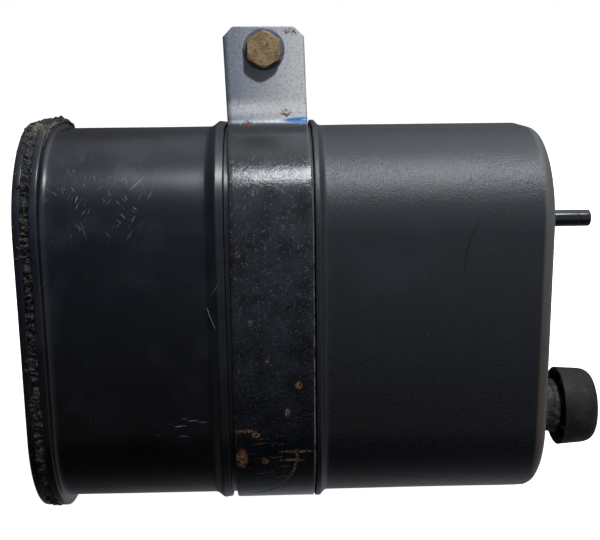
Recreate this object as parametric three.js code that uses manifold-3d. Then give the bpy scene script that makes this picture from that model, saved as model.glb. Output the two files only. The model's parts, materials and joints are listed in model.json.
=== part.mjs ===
// Strap-mounted reservoir canister: a moulded box with a welded end cover, held by a bolted steel clamp band.
// Millimetres, +Z up. X runs along the box from the welded cover (-X) to the port end (+X). -Y is its front.
// The pieces are drawn about the middle of the box, and the group then moves the origin to the clamp's bolt.
import * as THREE from "three";
import { mergeVertices } from "three/addons/utils/BufferGeometryUtils.js";
import Module from "manifold-3d";

const wasm = await Module();
wasm.setup();

// ---- Driving dimensions ----
const GAP = 0.3; // between pieces that touch
const BOX = {
  depth: 96,
  height: 155.7,
  corner: 38,
  wall: 2.6,
  endRound: 5,
  coverEnd: -101.6,
  portEnd: 105.6,
};
const WELD = {
  coverPlate: 3.2,
  coverProud: 3.9,
  coverChamfer: 1,
  land: 2, // how far the welding land stands out past the skin
  flashLength: 3,
  flashProud: 4.7,
  flashRound: 0.8,
  flangeLength: 3.2,
  flangeProud: 4.2,
  fillet: 2.2,
};
const RIB = { height: 2.4, left: [-28.3, -25.6, -22.5], right: [12.4, 14.4, 16.4] };
const BAND = { width: 32.2, thick: 2, middle: -4.2, lean: 0.033, leanFrom: 50 };
const TAB = {
  front: -17.4, // the front tab's front face
  slot: 3, // between the two tabs, for the carrying bracket
  top: 118.6,
  cut: [7, 5.5],
  frontBend: 7,
  rearBend: 5,
  boltZ: 109.7,
  hole: 4.5,
};
const BOLT = { flats: 13, head: 5.3, crown: 1, shank: 3.9, point: 0.9, length: 20 };
const WASHER = { thick: 1.6, radius: 8.2, bore: 4.2 };
const NUT = { thick: 6.5, bore: 4.15 };
const NIPPLE = { z: 37.3, outer: 3.6, bore: 2.2, length: 27.7, round: 1 };
const NECK = { z: -48.3, collar: 11.9, collarLength: 16, stem: 7.5, stemEnd: 131, bore: 5, spigot: 6.5 };
const CAP = { rim: 122.2, face: 138.3, outer: 17.4, wall: 2.2, round: 5, top: 3.6, sleeve: 1.5, cone: 1 };
const PARTITION = { thick: 2.4, from: -80 };
const STACK = { plate: 2.2, felt: 4.2, plenum: 8.4, retainerFace: -72.5, springSeat: 3.2, boss: 13 };
const SLOT = { rows: [12, 24, 36, 48, 60], columns: [-21, 0, 21], length: 16, width: 4 };
const FOOT = { y: 30, z: [6, 36], side: 4 };
const SPRING = { wire: 1.1, radius: 15.6, turns: 3.5, steps: 44 };
const PANEL = { recess: 1.2, inset: 9, barZ: [-36, -12, 12, 36], barReach: 36, barWidth: 3 };

const CORNER_STEPS = 9; // flat steps in each rounded corner of the box
const halfY = BOX.depth / 2;
const halfZ = BOX.height / 2;

// ---- Finishes ----
const material = (name, color, roughness, metalness = 0) => {
  const made = new THREE.MeshStandardMaterial({ color, roughness, metalness });
  made.name = name;
  return made;
};
const FINISH = {
  plastic: material("moulded_nylon", 0x191c20, 0.45),
  flash: material("weld_flash", 0x2a2724, 0.9),
  band: material("painted_steel", 0x1b1d22, 0.35, 0.4),
  zinc: material("rusty_zinc", 0x6b5a3e, 0.6, 0.7),
  rubber: material("rubber", 0x2b2928, 0.8),
  tube: material("gloss_tube", 0x14161c, 0.2),
  felt: material("felt", 0x8b8577, 1),
  granules: material("granules", 0x1a1a1a, 0.95),
  spring: material("spring_steel", 0x9a9a96, 0.35, 0.9),
};

// ---- Solids ----
// A closed geometry as a manifold solid, and a solid back as a geometry.
function solid(geometry) {
  const bare = geometry.index ? geometry.toNonIndexed() : geometry.clone();
  bare.deleteAttribute("normal");
  bare.deleteAttribute("uv");
  const merged = mergeVertices(bare, 1e-4);
  const vertProperties = merged.attributes.position.array;
  const triVerts = new Uint32Array(merged.index.array);
  return new wasm.Manifold(new wasm.Mesh({ numProp: 3, vertProperties, triVerts }));
}

function geometryOf(made) {
  const mesh = made.getMesh();
  const geometry = new THREE.BufferGeometry();
  geometry.setAttribute("position", new THREE.BufferAttribute(mesh.vertProperties, 3));
  geometry.setIndex(new THREE.BufferAttribute(mesh.triVerts, 1));
  geometry.computeVertexNormals();
  return geometry;
}

const root = new THREE.Group();
const box = new THREE.Group();
root.add(box);

function add(name, finish, made) {
  const mesh = new THREE.Mesh(geometryOf(made), finish);
  mesh.name = name;
  box.add(mesh);
}

// A flat shape drawn in (Y, Z), extruded along X from x0 to x1.
const SECTION_TO_X = new THREE.Matrix4().makeBasis(
  new THREE.Vector3(0, 1, 0),
  new THREE.Vector3(0, 0, 1),
  new THREE.Vector3(1, 0, 0),
);
function alongX(shape, x0, x1, curveSegments = CORNER_STEPS) {
  const geometry = new THREE.ExtrudeGeometry(shape, { depth: x1 - x0, bevelEnabled: false, curveSegments });
  return solid(geometry.applyMatrix4(SECTION_TO_X).translate(x0, 0, 0));
}

// A turned piece: (distance along the axis, radius) points, turned about a line along X at height z.
function turnedX(profile, z, y = 0, segments = 28) {
  const points = profile.map(([along, radius]) => new THREE.Vector2(radius, along));
  const geometry = new THREE.LatheGeometry(points, segments).rotateZ(-Math.PI / 2);
  const made = solid(geometry.translate(0, y, z));
  return made.volume() < 0 ? turnedX([...profile].reverse(), z, y, segments) : made;
}

// The same about a line along Y, through (x, z).
function turnedY(profile, x, z, segments = 28) {
  const points = profile.map(([along, radius]) => new THREE.Vector2(radius, along));
  const made = solid(new THREE.LatheGeometry(points, segments).translate(x, 0, z));
  return made.volume() < 0 ? turnedY([...profile].reverse(), x, z, segments) : made;
}

// A plain round bar along X (or, for roundY, along Y).
const roundX = (x0, x1, radius, z, segments) =>
  turnedX([[x0, 0], [x0, radius], [x1, radius], [x1, 0]], z, 0, segments);
const roundY = (y0, y1, radius, x, z, segments) =>
  turnedY([[y0, 0], [y0, radius], [y1, radius], [y1, 0]], x, z, segments);

const blockOf = (x0, x1, y0, y1, z0, z1) =>
  solid(
    new THREE.BoxGeometry(x1 - x0, y1 - y0, z1 - z0).translate((x0 + x1) / 2, (y0 + y1) / 2, (z0 + z1) / 2),
  );

// ---- The box's section ----
// A rounded rectangle, grown outwards (or inwards, when negative) from the box's outer skin.
function sectionShape(grow) {
  const y = halfY + grow;
  const z = halfZ + grow;
  const r = BOX.corner + grow;
  const shape = new THREE.Shape();
  shape.absarc(y - r, z - r, r, 0, Math.PI / 2);
  shape.absarc(r - y, z - r, r, Math.PI / 2, Math.PI);
  shape.absarc(r - y, r - z, r, Math.PI, 1.5 * Math.PI);
  shape.absarc(y - r, r - z, r, 1.5 * Math.PI, 2 * Math.PI);
  return shape;
}

function sectionRing(x, grow) {
  const points = [];
  const y = halfY + grow;
  const z = halfZ + grow;
  const r = BOX.corner + grow;
  const centres = [[y - r, z - r], [r - y, z - r], [r - y, r - z], [y - r, r - z]];
  centres.forEach(([cy, cz], quarter) => {
    for (let step = 0; step <= CORNER_STEPS; step++) {
      const angle = (Math.PI / 2) * (quarter + step / CORNER_STEPS);
      points.push(new THREE.Vector3(x, cy + r * Math.cos(angle), cz + r * Math.sin(angle)));
    }
  });
  return points;
}

// A solid lofted through sections of the box at the given [x, grow] stations.
function loft(stations) {
  const rings = stations.map(([x, grow]) => sectionRing(x, grow));
  const count = rings[0].length;
  const position = rings.flat().flatMap((p) => p.toArray());
  const index = [];
  for (let ring = 0; ring + 1 < rings.length; ring++)
    for (let k = 0; k < count; k++) {
      const here = ring * count + k;
      const beside = ring * count + ((k + 1) % count);
      index.push(here, beside + count, beside);
      index.push(here, here + count, beside + count);
    }
  const last = (rings.length - 1) * count;
  for (let k = 1; k + 1 < count; k++) {
    index.push(0, k, k + 1);
    index.push(last, last + k + 1, last + k);
  }
  const geometry = new THREE.BufferGeometry();
  geometry.setAttribute("position", new THREE.Float32BufferAttribute(position, 3));
  geometry.setIndex(index);
  const made = solid(geometry);
  if (made.volume() > 0) return made;
  geometry.index.array.reverse();
  return solid(geometry);
}

// Stations of a rounded end: the section pulls in by `radius` as x runs up to xEnd.
const roundedEnd = (xEnd, radius, grow, steps) =>
  Array.from({ length: steps + 1 }, (_, k) => {
    const angle = (Math.PI / 2) * (k / steps);
    return [xEnd - radius * (1 - Math.sin(angle)), grow - radius * (1 - Math.cos(angle))];
  });

// ---- Body shell: flange, two locating ribs, rounded port end ----
const flangeFace = BOX.coverEnd + WELD.coverPlate + WELD.flashLength + GAP;
const flangeBack = flangeFace + WELD.flangeLength;
const STEP = 0.05; // a wall this steep stands for a square one
const outerStations = [
  [flangeFace, WELD.flangeProud],
  [flangeBack, WELD.flangeProud],
  [flangeBack + STEP, WELD.fillet],
  [flangeBack + 0.7, 0.8],
  [flangeBack + WELD.fillet, 0],
  [RIB.left[0], 0],
  [RIB.left[1], RIB.height],
  [RIB.left[2] - STEP, RIB.height],
  [RIB.left[2], 0],
  [RIB.right[0], 0],
  [RIB.right[0] + STEP, RIB.height],
  [RIB.right[1], RIB.height],
  [RIB.right[2], 0],
  ...roundedEnd(BOX.portEnd, BOX.endRound, 0, 5),
];
const innerEnd = BOX.portEnd - BOX.wall - 0.4;
const cavity = loft([
  [flangeFace - 1, -BOX.wall],
  ...roundedEnd(innerEnd, BOX.endRound - BOX.wall, -BOX.wall, 3),
]);
const portHole = (z, radius) => roundX(innerEnd - 1, BOX.portEnd + 1, radius, z);
add(
  "body_shell",
  FINISH.plastic,
  loft(outerStations)
    .subtract(cavity)
    .subtract(portHole(NIPPLE.z, NIPPLE.outer + GAP))
    .subtract(portHole(NECK.z, NECK.spigot + GAP)),
);

// ---- End cover: a plate with a welding land, stiffening ribs and two spring bosses ----
const plateIn = BOX.coverEnd + WELD.coverPlate;
const landEnd = flangeFace - GAP;
const chambers = [
  { name: "upper", side: 1, z: halfZ / 2 },
  { name: "lower", side: -1, z: -halfZ / 2 },
];
const SINK = 0.5; // how deep a joined solid starts inside the one that carries it
const land = alongX(sectionShape(WELD.land), plateIn - SINK, landEnd);
let cover = loft([
  [BOX.coverEnd, WELD.coverProud - WELD.coverChamfer],
  [BOX.coverEnd + WELD.coverChamfer, WELD.coverProud],
  [plateIn, WELD.coverProud],
]);
cover = cover.add(land.subtract(alongX(sectionShape(-BOX.wall), plateIn, landEnd + 1)));
cover = cover.subtract(loft([[BOX.coverEnd - 1, -PANEL.inset], [BOX.coverEnd + PANEL.recess, -PANEL.inset]]));
for (const z of PANEL.barZ) {
  const half = PANEL.barWidth / 2;
  const barFront = BOX.coverEnd + PANEL.recess / 2;
  const barBack = BOX.coverEnd + PANEL.recess + SINK;
  cover = cover.add(blockOf(barFront, barBack, -PANEL.barReach, PANEL.barReach, z - half, z + half));
}
for (const { z } of chambers)
  cover = cover.add(roundX(plateIn - SINK, plateIn + STACK.springSeat, STACK.boss, z));
add("end_cover", FINISH.plastic, cover);

// ---- Weld flash: the plastic squeezed out between cover and flange ----
const flashFrom = plateIn + GAP;
const flash = loft([
  [flashFrom, WELD.flashProud - WELD.flashRound],
  [flashFrom + WELD.flashRound, WELD.flashProud],
  [landEnd - WELD.flashRound, WELD.flashProud],
  [landEnd, WELD.flashProud - WELD.flashRound],
]).subtract(alongX(sectionShape(WELD.land + GAP), flashFrom - 1, landEnd + 1));
add("weld_flash", FINISH.flash, flash);

// ---- Clamp band: one steel strip round the box, both ends bent up into tabs ----
const mid = GAP + BAND.thick / 2; // from the box's skin to the middle of the strip
const arcR = BOX.corner + mid;
const cornerY = halfY - BOX.corner;
const cornerZ = halfZ - BOX.corner;
const OVER = 2; // the strip is drawn this much too long, then cut to the tab's outline
const frontTabY = TAB.front + BAND.thick / 2;
const rearTabY = TAB.front + BAND.thick + TAB.slot + BAND.thick / 2;
const bendY = frontTabY - TAB.frontBend;
const bendZ = cornerZ + Math.sqrt((arcR + TAB.frontBend) ** 2 - (bendY + cornerY) ** 2);
const bendAngle = Math.atan2(cornerZ - bendZ, -cornerY - bendY);
const STRIP_STEPS = 8;
const strip = new THREE.Path();
strip.moveTo(frontTabY, TAB.top + OVER);
strip.absarc(bendY, bendZ, TAB.frontBend, 0, bendAngle, true);
strip.absarc(-cornerY, cornerZ, arcR, bendAngle + Math.PI, Math.PI, false);
strip.absarc(-cornerY, -cornerZ, arcR, Math.PI, 1.5 * Math.PI, false);
strip.absarc(cornerY, -cornerZ, arcR, 1.5 * Math.PI, 2 * Math.PI, false);
strip.absarc(cornerY, cornerZ, arcR, 0, Math.PI / 2, false);
strip.absarc(rearTabY + TAB.rearBend, halfZ + mid + TAB.rearBend, TAB.rearBend, -Math.PI / 2, -Math.PI, true);
strip.lineTo(rearTabY, TAB.top + OVER);

// The outline of a strip of the given thickness along a line of points.
function stripShape(points, thick) {
  const side = (sign) =>
    points.map((point, k) => {
      const before = points[Math.max(k - 1, 0)];
      const after = points[Math.min(k + 1, points.length - 1)];
      const along = after.clone().sub(before).normalize();
      const reach = (sign * thick) / 2;
      return new THREE.Vector2(point.x - along.y * reach, point.y + along.x * reach);
    });
  return new THREE.Shape([...side(1), ...side(-1).reverse()]);
}
const apart = (point, k, all) => k === 0 || point.distanceTo(all[k - 1]) > STEP;
const stripPoints = strip.getPoints(STRIP_STEPS).filter(apart);
const bandLeft = BAND.middle - BAND.width / 2;
const bandRight = BAND.middle + BAND.width / 2;

// A tab's outline seen from the front: straight sides and two cut corners at the top.
const mask = new THREE.Shape();
const [cutX, cutZ] = TAB.cut;
const maskFoot = -halfZ - 10;
mask.moveTo(bandLeft, maskFoot);
mask.lineTo(bandRight, maskFoot);
mask.lineTo(bandRight, TAB.top - cutZ);
mask.quadraticCurveTo(bandRight, TAB.top, bandRight - cutX, TAB.top);
mask.lineTo(bandLeft + cutX, TAB.top);
mask.quadraticCurveTo(bandLeft, TAB.top, bandLeft, TAB.top - cutZ);
const depth = 2 * BOX.depth;
const maskGeometry = new THREE.ExtrudeGeometry(mask, { depth, bevelEnabled: false, curveSegments: 3 });
const tabMask = solid(maskGeometry.rotateX(Math.PI / 2).translate(0, depth / 2, 0));
const boltHole = roundY(frontTabY - OVER, rearTabY + OVER, TAB.hole, BAND.middle, TAB.boltZ, 20);
const fullStrip = alongX(stripShape(stripPoints, BAND.thick), bandLeft, bandRight);
const straightBand = fullStrip.intersect(tabMask).subtract(boltHole);
// The band sits a little askew: above the shoulder it leans towards the cover.
const leanAt = (z) => -BAND.lean * Math.max(z - BAND.leanFrom, 0);
const leaning = geometryOf(straightBand);
const place = leaning.attributes.position;
for (let k = 0; k < place.count; k++) place.setX(k, place.getX(k) + leanAt(place.getZ(k)));
add("clamp_band", FINISH.band, solid(leaning));

// ---- Bolt, washer and nut, on one line along Y ----
const boltX = BAND.middle + leanAt(TAB.boltZ);
const hexagon = (radius) => new THREE.CylinderGeometry(radius, radius, 1, 6);
const hexBlock = (flats, y0, y1) =>
  solid(
    hexagon(flats / Math.sqrt(3))
      .scale(1, y1 - y0, 1)
      .translate(boltX, (y0 + y1) / 2, TAB.boltZ),
  );
const CLOSE = 0.15; // between clamped flat faces
const washerBack = TAB.front - CLOSE;
const washerFront = washerBack - WASHER.thick;
const headBack = washerFront - CLOSE;
const headFront = headBack - BOLT.head;
const point = headBack + BOLT.length;
// The head's corners are turned down to a crown: a cone that meets the flats' circle at the face.
const crownCone = turnedY(
  [
    [headFront, 0],
    [headFront, BOLT.flats / 2 - 0.2],
    [headFront + BOLT.crown, BOLT.flats / 2 + 1.2],
    [headBack + 1, BOLT.flats],
    [headBack + 1, 0],
  ],
  boltX,
  TAB.boltZ,
);
const shankProfile = [[headBack - 1, 0], [headBack - 1, BOLT.shank], [point - BOLT.point, BOLT.shank]];
shankProfile.push([point, BOLT.shank - BOLT.point], [point, 0]);
const shank = turnedY(shankProfile, boltX, TAB.boltZ, 20);
add("tab_bolt", FINISH.zinc, hexBlock(BOLT.flats, headFront, headBack).intersect(crownCone).add(shank));
const washer = roundY(washerFront, washerBack, WASHER.radius, boltX, TAB.boltZ);
const washerHole = roundY(washerFront - 1, washerBack + 1, WASHER.bore, boltX, TAB.boltZ, 20);
add("tab_washer", FINISH.zinc, washer.subtract(washerHole));
const nutFront = rearTabY + BAND.thick / 2 + CLOSE;
const nutBack = nutFront + NUT.thick;
const nutBore = roundY(nutFront - 1, nutBack + 1, NUT.bore, boltX, TAB.boltZ, 20);
add("tab_nut", FINISH.zinc, hexBlock(BOLT.flats, nutFront, nutBack).subtract(nutBore));

// ---- Ports ----
const tip = BOX.portEnd + NIPPLE.length;
add(
  "hose_nipple",
  FINISH.tube,
  turnedX(
    [
      [innerEnd - 2, NIPPLE.bore],
      [innerEnd - 2, NIPPLE.outer],
      [tip - NIPPLE.round, NIPPLE.outer],
      [tip - 0.3, NIPPLE.outer - 0.3],
      [tip, NIPPLE.outer - NIPPLE.round],
      [tip, NIPPLE.bore],
      [innerEnd - 2, NIPPLE.bore],
    ],
    NIPPLE.z,
    0,
    20,
  ),
);
const neckFoot = BOX.portEnd + GAP;
const collarEnd = BOX.portEnd + NECK.collarLength;
add(
  "vent_neck",
  FINISH.plastic,
  turnedX(
    [
      [innerEnd - 2, NECK.bore],
      [innerEnd - 2, NECK.spigot],
      [neckFoot, NECK.spigot],
      [neckFoot, NECK.collar],
      [collarEnd - 0.6, NECK.collar],
      [collarEnd, NECK.collar - 0.6],
      [collarEnd, NECK.stem],
      [NECK.stemEnd, NECK.stem],
      [NECK.stemEnd, NECK.bore],
      [innerEnd - 2, NECK.bore],
    ],
    NECK.z,
  ),
);

// ---- Vent cap: a mushroom with an open underside, whose sleeve grips the neck's stem ----
const ceiling = CAP.face - CAP.top;
const sleeveIn = NECK.stem + GAP;
const sleeveOut = sleeveIn + CAP.sleeve;
const sleeveFrom = CAP.rim + 1.6;
const capInner = CAP.outer - CAP.wall;
const CROWNED = 0.8; // how far the middle of the cap's face stands out
const EDGE_STEPS = 4;
const capProfile = [[ceiling, 0], [ceiling, sleeveIn], [sleeveFrom, sleeveIn]];
capProfile.push([sleeveFrom, sleeveOut], [ceiling, sleeveOut]);
capProfile.push([ceiling, capInner - CAP.cone], [CAP.rim, capInner], [CAP.rim, CAP.outer]);
for (let step = 0; step <= EDGE_STEPS; step++) {
  const angle = (Math.PI / 2) * (step / EDGE_STEPS);
  const radius = CAP.outer - CAP.cone - CAP.round * (1 - Math.cos(angle));
  capProfile.push([CAP.face - CROWNED - CAP.round * (1 - Math.sin(angle)), radius]);
}
capProfile.push([CAP.face, 0]);
add("vent_cap", FINISH.rubber, turnedX(capProfile, NECK.z));
const filterFrom = CAP.rim + 5.4;
const filterEnd = ceiling - GAP;
const filterDisc = roundX(filterFrom, filterEnd, capInner - CAP.cone - GAP, NECK.z, 20);
const filterHole = roundX(filterFrom - 1, filterEnd + 1, sleeveOut + GAP, NECK.z, 20);
add("cap_filter", FINISH.felt, filterDisc.subtract(filterHole));

// ---- Inside: a partition makes two chambers, each with plates, pads, a filling and a spring ----
const innerY = halfY - BOX.wall;
const partitionEnd = innerEnd - GAP - (BOX.endRound - BOX.wall);
const partitionZ = PARTITION.thick / 2;
const partition = blockOf(PARTITION.from, partitionEnd, GAP - innerY, innerY - GAP, -partitionZ, partitionZ);
add("partition", FINISH.plastic, partition);

// A chamber's section: flat against the partition, rounded against the box. side is 1 above and -1 below.
function chamberShape(side, inset) {
  const y = innerY - inset;
  const z = halfZ - BOX.wall - inset;
  const r = BOX.corner - BOX.wall - inset;
  const floor = PARTITION.thick / 2 + inset;
  const shape = new THREE.Shape();
  shape.moveTo(-y, side * floor);
  shape.lineTo(y, side * floor);
  shape.absarc(y - r, side * (z - r), r, 0, (side * Math.PI) / 2, side < 0);
  shape.absarc(r - y, side * (z - r), r, (side * Math.PI) / 2, side * Math.PI, side < 0);
  return shape;
}

// A perforated plate that fills a chamber's section from x0 to x1.
function slottedPlate(side, x0, x1) {
  let plate = alongX(chamberShape(side, GAP), x0, x1);
  const [halfLong, halfWide] = [SLOT.length / 2, SLOT.width / 2];
  for (const z of SLOT.rows)
    for (const y of SLOT.columns) {
      const z0 = side * z - halfWide;
      plate = plate.subtract(blockOf(x0 - 1, x1 + 1, y - halfLong, y + halfLong, z0, z0 + SLOT.width));
    }
  return plate;
}

// A round wire's line from one coil end to the other.
class Helix extends THREE.Curve {
  constructor(from, length, z) {
    super();
    Object.assign(this, { from, length, z });
  }
  getPoint(t, target = new THREE.Vector3()) {
    const angle = 2 * Math.PI * SPRING.turns * t;
    const y = SPRING.radius * Math.cos(angle);
    return target.set(this.from + this.length * t, y, this.z + SPRING.radius * Math.sin(angle));
  }
}

const portPlateX = innerEnd - STACK.plenum;
const portFeltX = portPlateX - STACK.plate - GAP;
const bedEnd = portFeltX - STACK.felt - GAP;
const coverFeltX = STACK.retainerFace + GAP;
const bedStart = coverFeltX + STACK.felt + GAP;
const seat = STACK.retainerFace - STACK.plate;
const springFrom = plateIn + SPRING.wire + GAP;
const springLength = seat - SPRING.wire - GAP - springFrom;
const FOOT_END = 2.6; // the feet stop this far short of the end wall
for (const { name, side, z } of chambers) {
  let portPlate = slottedPlate(side, portPlateX - STACK.plate, portPlateX);
  const half = FOOT.side / 2;
  for (const y of [-FOOT.y, FOOT.y])
    for (const footZ of FOOT.z) {
      const [from, to] = [portPlateX - SINK, innerEnd - FOOT_END];
      const [low, high] = [side * footZ - half, side * footZ + half];
      portPlate = portPlate.add(blockOf(from, to, y - half, y + half, low, high));
    }
  add(`${name}_port_plate`, FINISH.plastic, portPlate);
  add(`${name}_port_felt`, FINISH.felt, alongX(chamberShape(side, GAP), portFeltX - STACK.felt, portFeltX));
  add(`${name}_bed`, FINISH.granules, alongX(chamberShape(side, GAP), bedStart, bedEnd));
  add(`${name}_cover_felt`, FINISH.felt, alongX(chamberShape(side, GAP), coverFeltX, bedStart - GAP));

  // The retainer's boss centres the spring and closes the slots under it.
  const boss = roundX(seat - STACK.springSeat, STACK.retainerFace - SINK, STACK.boss, z, 20);
  add(`${name}_retainer`, FINISH.plastic, slottedPlate(side, seat, STACK.retainerFace).add(boss));

  // The wire's ends stay clear of the cover and of the retainer.
  const wire = new THREE.Shape();
  wire.absarc(0, 0, SPRING.wire - STEP, 0, 2 * Math.PI);
  const extrudePath = new Helix(springFrom, springLength, z);
  const coil = new THREE.ExtrudeGeometry(wire, { steps: SPRING.steps, curveSegments: 3, extrudePath });
  add(`${name}_spring`, FINISH.spring, solid(coil));
}

// The origin is on the bolt's line, midway between the two tabs, where the carrying bracket sits.
box.position.set(-boltX, -(frontTabY + rearTabY) / 2, -TAB.boltZ);

export default root;
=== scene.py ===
"""Looks of the strap-mounted reservoir canister, built round its frame. Metres, +Z up, front towards -Y."""

import json
import math

import bmesh
import bpy
import numpy as np
from mathutils import Matrix, Vector, noise


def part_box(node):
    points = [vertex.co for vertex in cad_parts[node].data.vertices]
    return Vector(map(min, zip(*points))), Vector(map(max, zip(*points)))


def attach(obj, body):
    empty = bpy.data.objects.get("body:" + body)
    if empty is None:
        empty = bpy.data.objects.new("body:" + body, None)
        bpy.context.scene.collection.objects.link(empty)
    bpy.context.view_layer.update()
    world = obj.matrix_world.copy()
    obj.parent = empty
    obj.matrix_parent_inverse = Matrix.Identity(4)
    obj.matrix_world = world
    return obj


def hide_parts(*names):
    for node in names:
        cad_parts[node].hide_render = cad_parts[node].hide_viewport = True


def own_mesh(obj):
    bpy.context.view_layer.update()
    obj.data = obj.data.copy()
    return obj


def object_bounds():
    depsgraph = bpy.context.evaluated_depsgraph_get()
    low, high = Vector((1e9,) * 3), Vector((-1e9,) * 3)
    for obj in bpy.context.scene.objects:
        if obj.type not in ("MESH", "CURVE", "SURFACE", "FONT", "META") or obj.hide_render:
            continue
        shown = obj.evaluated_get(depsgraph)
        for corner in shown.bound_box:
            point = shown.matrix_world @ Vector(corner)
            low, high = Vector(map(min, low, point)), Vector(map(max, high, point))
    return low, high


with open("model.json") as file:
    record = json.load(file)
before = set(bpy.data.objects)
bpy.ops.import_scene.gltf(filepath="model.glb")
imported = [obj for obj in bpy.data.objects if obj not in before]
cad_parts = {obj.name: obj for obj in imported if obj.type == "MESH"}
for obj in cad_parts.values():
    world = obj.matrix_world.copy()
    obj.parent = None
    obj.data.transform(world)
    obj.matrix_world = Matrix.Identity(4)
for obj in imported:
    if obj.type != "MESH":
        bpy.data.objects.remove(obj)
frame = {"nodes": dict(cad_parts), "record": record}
cad_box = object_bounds()

# vector noise is offset by the clock unless it is given a seed
noise.seed_set(7)

MM = 0.001
TURN = 2 * math.pi

# ---- Sizes and places, in metres, worked out from the frame ----
shell_low, shell_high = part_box("body_shell")
band_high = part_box("clamp_band")[1]
cover_low, cover_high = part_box("end_cover")
flash_low, flash_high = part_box("weld_flash")
bolt_low, bolt_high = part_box("tab_bolt")
washer_low, washer_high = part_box("tab_washer")
nut_low, nut_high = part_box("tab_nut")
nipple_low, nipple_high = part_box("hose_nipple")
neck_low, neck_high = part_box("vent_neck")
cap_low, cap_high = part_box("vent_cap")

FLANGE_PROUD = 4.2 * MM
CORNER = 38 * MM
WALL = 2.6 * MM
END_ROUND = 5 * MM
FLANGE_LENGTH = 3.2 * MM
MIDDLE = (shell_low + shell_high) / 2
HALF_Y = (shell_high.y - shell_low.y) / 2 - FLANGE_PROUD
HALF_Z = (shell_high.z - shell_low.z) / 2 - FLANGE_PROUD
FLANGE_FACE = shell_low.x
PORT_END = shell_high.x
INNER_END = PORT_END - WALL - 0.4 * MM

BAND_THICK = 2 * MM
BAND_WIDTH = 32.2 * MM
BAND_GAP = 0.3 * MM
BAND_RIGHT = band_high.x
BAND_MIDDLE = BAND_RIGHT - BAND_WIDTH / 2
BAND_LEAN = 0.033
LEAN_FROM = MIDDLE.z + 50 * MM
TAB_SLOT = 3 * MM
TAB_TOP = band_high.z
TAB_CUT = 4 * MM
FRONT_BEND, REAR_BEND = 7 * MM, 5 * MM
TAB_HOLE = 4.5 * MM
RIB_HEIGHT = 2.4 * MM


# ---- Node trees ----
def colour(code):
    """An sRGB hex colour as linear RGBA, for a shader's socket; a pattern's own socket stays as it is."""
    if isinstance(code, bpy.types.NodeSocket):
        return code
    parts = [int(code[start : start + 2], 16) / 255 for start in (1, 3, 5)]
    return (*(p / 12.92 if p <= 0.04045 else ((p + 0.055) / 1.055) ** 2.4 for p in parts), 1.0)


def per_mm(size):
    """The texture scale that makes one cell `size` millimetres wide."""
    return 1 / (size * MM)


def add(tree, kind, inputs=None, **settings):
    """Adds a node with its settings; inputs are values or sockets, by name or number."""
    made = tree.nodes.new(kind)
    for key, value in settings.items():
        setattr(made, key, value)
    for key, value in (inputs or {}).items():
        if isinstance(value, bpy.types.NodeSocket):
            tree.links.new(value, made.inputs[key])
        else:
            made.inputs[key].default_value = value
    return made


def material(name):
    """A new material's tree, its shader and its Object coordinates."""
    made = bpy.data.materials.new(name)
    made.use_nodes = True
    tree = made.node_tree
    tree.nodes.clear()
    shader = add(tree, "ShaderNodeBsdfPrincipled")
    add(tree, "ShaderNodeOutputMaterial", {"Surface": shader.outputs[0]})
    at = add(tree, "ShaderNodeTexCoord").outputs["Object"]
    return made, tree, shader, at


def rising(value, low, high, soft=True):
    """A mask that rises from 0 where the value is low to 1 where it is high."""
    ramp = {"Value": value, "From Min": low, "From Max": high}
    shape = "SMOOTHSTEP" if soft else "LINEAR"
    return add(value.id_data, "ShaderNodeMapRange", ramp, interpolation_type=shape).outputs[0]


def blotches(at, size, low, high, detail=4.0, seed=0.0):
    """A 0 to 1 mask of irregular patches about `size` mm across, from noise between low and high."""
    inputs = {"Vector": at, "W": seed, "Scale": per_mm(size), "Detail": detail, "Roughness": 0.6}
    cloud = add(at.id_data, "ShaderNodeTexNoise", inputs, noise_dimensions="4D")
    return rising(cloud.outputs[0], low, high)


def scores(at, angle, spacing, length, low, seed=0.0):
    """A mask of short thin scores in the XZ plane, in cells about `spacing` mm wide and `length` mm long."""
    tree = at.id_data
    wander = add(tree, "ShaderNodeTexNoise", {"Vector": at, "Scale": per_mm(25), "Detail": 1.0})
    bent = add(tree, "ShaderNodeVectorMath", {0: wander.outputs[1], 3: 5 * MM}, operation="SCALE")
    moved = add(tree, "ShaderNodeVectorMath", {0: at, 1: bent.outputs[0]}, operation="ADD")
    turned = add(tree, "ShaderNodeMapping", {"Vector": moved.outputs[0], "Rotation": (0, angle, 0)})
    stretch = (per_mm(length), per_mm(400), per_mm(spacing))
    stretched = add(tree, "ShaderNodeMapping", {"Vector": turned.outputs[0], "Scale": stretch})
    inputs = {"Vector": stretched.outputs[0], "W": seed, "Scale": 1.0, "Detail": 1.0, "Roughness": 0.5}
    lines = add(tree, "ShaderNodeTexNoise", inputs, noise_dimensions="4D")
    return rising(lines.outputs[0], low, low + 0.07)


def in_metres(*lengths):
    """Lengths in millimetres, as metres."""
    return tuple(length * MM for length in lengths)


def spot(at, centre, radius, soft=1.0):
    """A mask round one place, 1 at its centre and 0 past its radii, both as X, Y and Z in millimetres."""
    tree = at.id_data
    near = add(tree, "ShaderNodeVectorMath", {0: at, 1: in_metres(*centre)}, operation="SUBTRACT")
    sized = add(tree, "ShaderNodeVectorMath", {0: near.outputs[0], 1: in_metres(*radius)}, operation="DIVIDE")
    away = add(tree, "ShaderNodeVectorMath", {0: sized.outputs[0]}, operation="LENGTH")
    return rising(away.outputs["Value"], 1.0, 1.0 - soft)


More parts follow.
